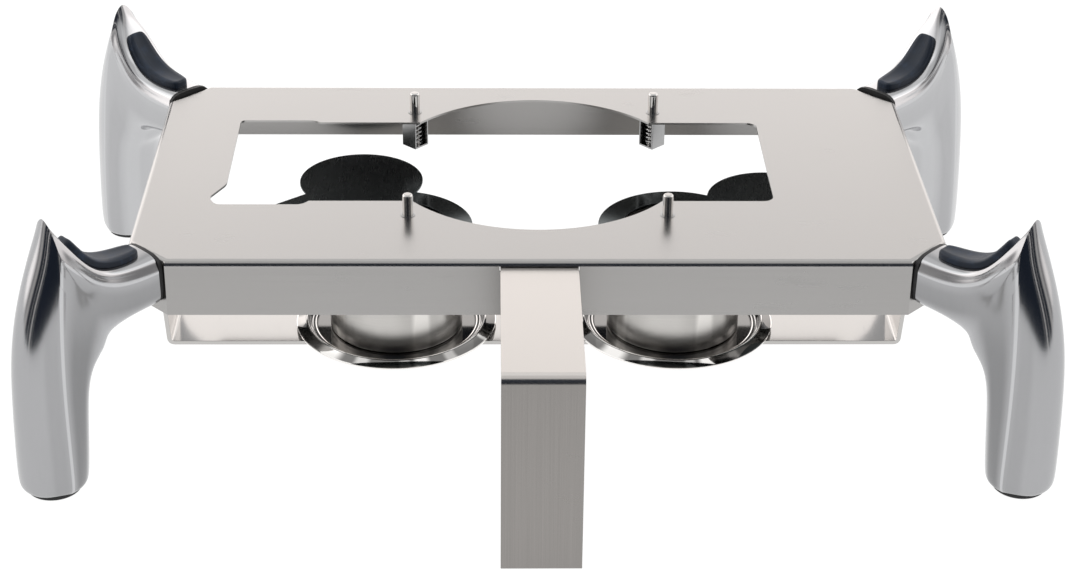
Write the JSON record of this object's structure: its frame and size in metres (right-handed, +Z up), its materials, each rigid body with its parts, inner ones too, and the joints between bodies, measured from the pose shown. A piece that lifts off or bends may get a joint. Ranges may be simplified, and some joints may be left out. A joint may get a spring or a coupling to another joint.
{
  "type": "chafing dish food warmer",
  "caption": "Chafing dish frame on cast legs with rubber saddles, sprung locating pins, a hanging shelf with lidded fuel holders and a front stabiliser foot.",
  "frame": {"origin": "the middle of the whole object's footprint, on the surface that it stands on", "axes": "+X to the right along the frame's long side, +Y to the back, +Z up. The stabiliser foot stands towards -Y"},
  "size_m": [0.6826, 0.4914, 0.1929],
  "materials": {
    "brushed_sheet": "brushed stainless sheet, semi-gloss",
    "mirror_sheet": "mirror-polished stainless sheet",
    "satin_sheet": "satin turned stainless sheet",
    "polished_casting": "polished cast alloy",
    "navy_rubber": "smooth dark navy rubber",
    "black_gasket": "matt black rubber",
    "plated_steel": "bright plated steel"
  },
  "bodies": {
    "root": {"frame_plate": "brushed_sheet", "stabiliser_foot": "brushed_sheet", "burner_shelf": "mirror_sheet", "leg_front_left": "polished_casting", "leg_front_right": "polished_casting", "leg_back_left": "polished_casting", "leg_back_right": "polished_casting", "leg_gasket_front_left": "black_gasket", "leg_gasket_front_right": "black_gasket", "leg_gasket_back_left": "black_gasket", "leg_gasket_back_right": "black_gasket", "saddle_pad_front_left": "navy_rubber", "saddle_pad_front_right": "navy_rubber", "saddle_pad_back_left": "navy_rubber", "saddle_pad_back_right": "navy_rubber", "foot_pad_front_left": "black_gasket", "foot_pad_front_right": "black_gasket", "foot_pad_back_left": "black_gasket", "foot_pad_back_right": "black_gasket", "leg_bolt_lower_front_left": "plated_steel", "leg_bolt_lower_front_right": "plated_steel", "leg_bolt_lower_back_left": "plated_steel", "leg_bolt_lower_back_right": "plated_steel", "leg_bolt_upper_front_left": "plated_steel", "leg_bolt_upper_front_right": "plated_steel", "leg_bolt_upper_back_left": "plated_steel", "leg_bolt_upper_back_right": "plated_steel", "pin_bush_front_left": "plated_steel", "pin_bush_front_right": "plated_steel", "pin_bush_back_left": "plated_steel", "pin_bush_back_right": "plated_steel", "pin_bracket_front_left": "plated_steel", "pin_bracket_front_right": "plated_steel", "pin_bracket_back_left": "plated_steel", "pin_bracket_back_right": "plated_steel", "pin_spring_front_left": "plated_steel", "pin_spring_front_right": "plated_steel", "pin_spring_back_left": "plated_steel", "pin_spring_back_right": "plated_steel", "drip_saucer_left": "mirror_sheet", "drip_saucer_right": "mirror_sheet", "fuel_cup_left": "satin_sheet", "fuel_cup_right": "satin_sheet", "burner_ring_left": "mirror_sheet", "burner_ring_right": "mirror_sheet", "lid_rivet_left": "plated_steel", "lid_rivet_right": "plated_steel"},
    "pin_front_left": {"locating_pin_front_left": "mirror_sheet", "pin_clip_front_left": "plated_steel"},
    "pin_front_right": {"locating_pin_front_right": "mirror_sheet", "pin_clip_front_right": "plated_steel"},
    "pin_back_left": {"locating_pin_back_left": "mirror_sheet", "pin_clip_back_left": "plated_steel"},
    "pin_back_right": {"locating_pin_back_right": "mirror_sheet", "pin_clip_back_right": "plated_steel"},
    "lid_left": {"burner_lid_left": "mirror_sheet"},
    "lid_right": {"burner_lid_right": "mirror_sheet"}
  },
  "joints": [
    {"name": "pin_press_front_left", "type": "slide", "parent": "root", "child": "pin_front_left", "axis": [0, 0, -1], "range_m": [0, 0.009], "stiffness_N_per_m": 600, "springref_m": -0.006, "deforming": ["pin_spring_front_left"]},
    {"name": "pin_press_front_right", "type": "slide", "parent": "root", "child": "pin_front_right", "axis": [0, 0, -1], "range_m": [0, 0.009], "stiffness_N_per_m": 600, "springref_m": -0.006, "deforming": ["pin_spring_front_right"]},
    {"name": "pin_press_back_left", "type": "slide", "parent": "root", "child": "pin_back_left", "axis": [0, 0, -1], "range_m": [0, 0.009], "stiffness_N_per_m": 600, "springref_m": -0.006, "deforming": ["pin_spring_back_left"]},
    {"name": "pin_press_back_right", "type": "slide", "parent": "root", "child": "pin_back_right", "axis": [0, 0, -1], "range_m": [0, 0.009], "stiffness_N_per_m": 600, "springref_m": -0.006, "deforming": ["pin_spring_back_right"]},
    {"name": "lid_swing_left", "type": "hinge", "parent": "root", "child": "lid_left", "pos_m": [-0.13, 0.06449, 0.0983], "axis": [0, 0, 1], "range_deg": [-129.7, 85]},
    {"name": "lid_swing_right", "type": "hinge", "parent": "root", "child": "lid_right", "pos_m": [0.13, 0.06449, 0.0983], "axis": [0, 0, 1], "range_deg": [-6, 209]}
  ]
}
